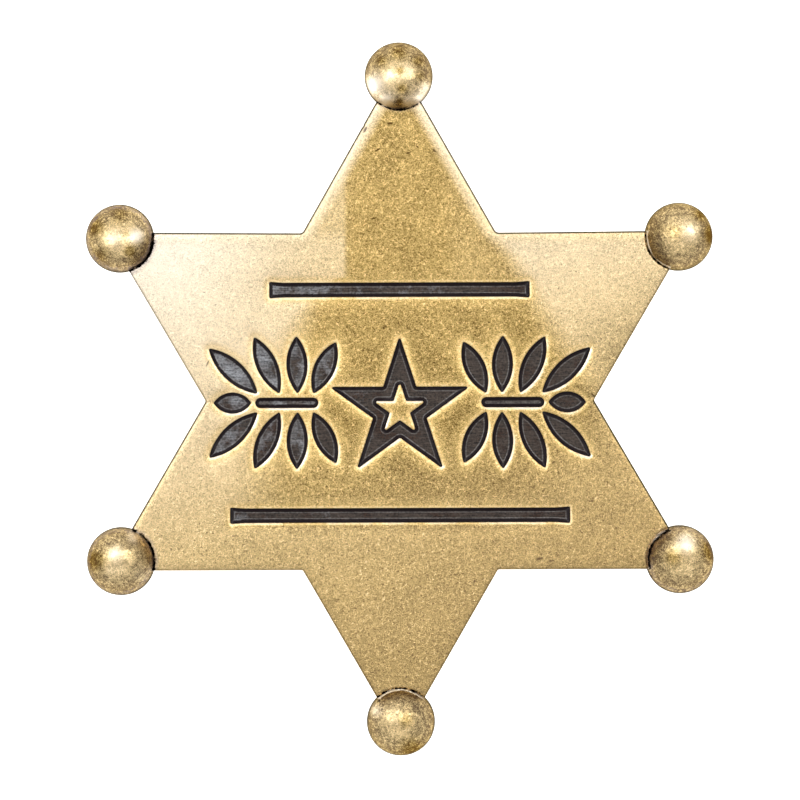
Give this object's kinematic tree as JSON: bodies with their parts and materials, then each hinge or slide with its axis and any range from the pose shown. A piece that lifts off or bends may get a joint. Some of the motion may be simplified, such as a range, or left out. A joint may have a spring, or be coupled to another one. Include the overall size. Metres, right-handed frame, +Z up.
{
  "type": "sheriff star badge",
  "caption": "Flat six-pointed star badge with domed ball tips, black enamel in sunk bars and a leaf and star ornament, and a bar pin on its back.",
  "frame": {"origin": "on the surface that the badge lies on, under the middle of the star", "axes": "+Z up, out of the badge's face; +Y the top of the badge as it is worn"},
  "size_m": [0.0616, 0.07, 0.0083],
  "materials": {
    "antique_brass": "stamped, darkened and tumbled to an antique brass",
    "black_enamel": "glossy black enamel, poured and set",
    "nickel_steel": "nickel plated steel, pressed from sheet"
  },
  "bodies": {
    "root": {"star_plate": "antique_brass", "enamel_upper_bar": "black_enamel", "enamel_lower_bar": "black_enamel", "enamel_small_star": "black_enamel", "enamel_spray_left": "black_enamel", "enamel_spray_right": "black_enamel", "pin_back": "nickel_steel"}
  },
  "joints": []
}
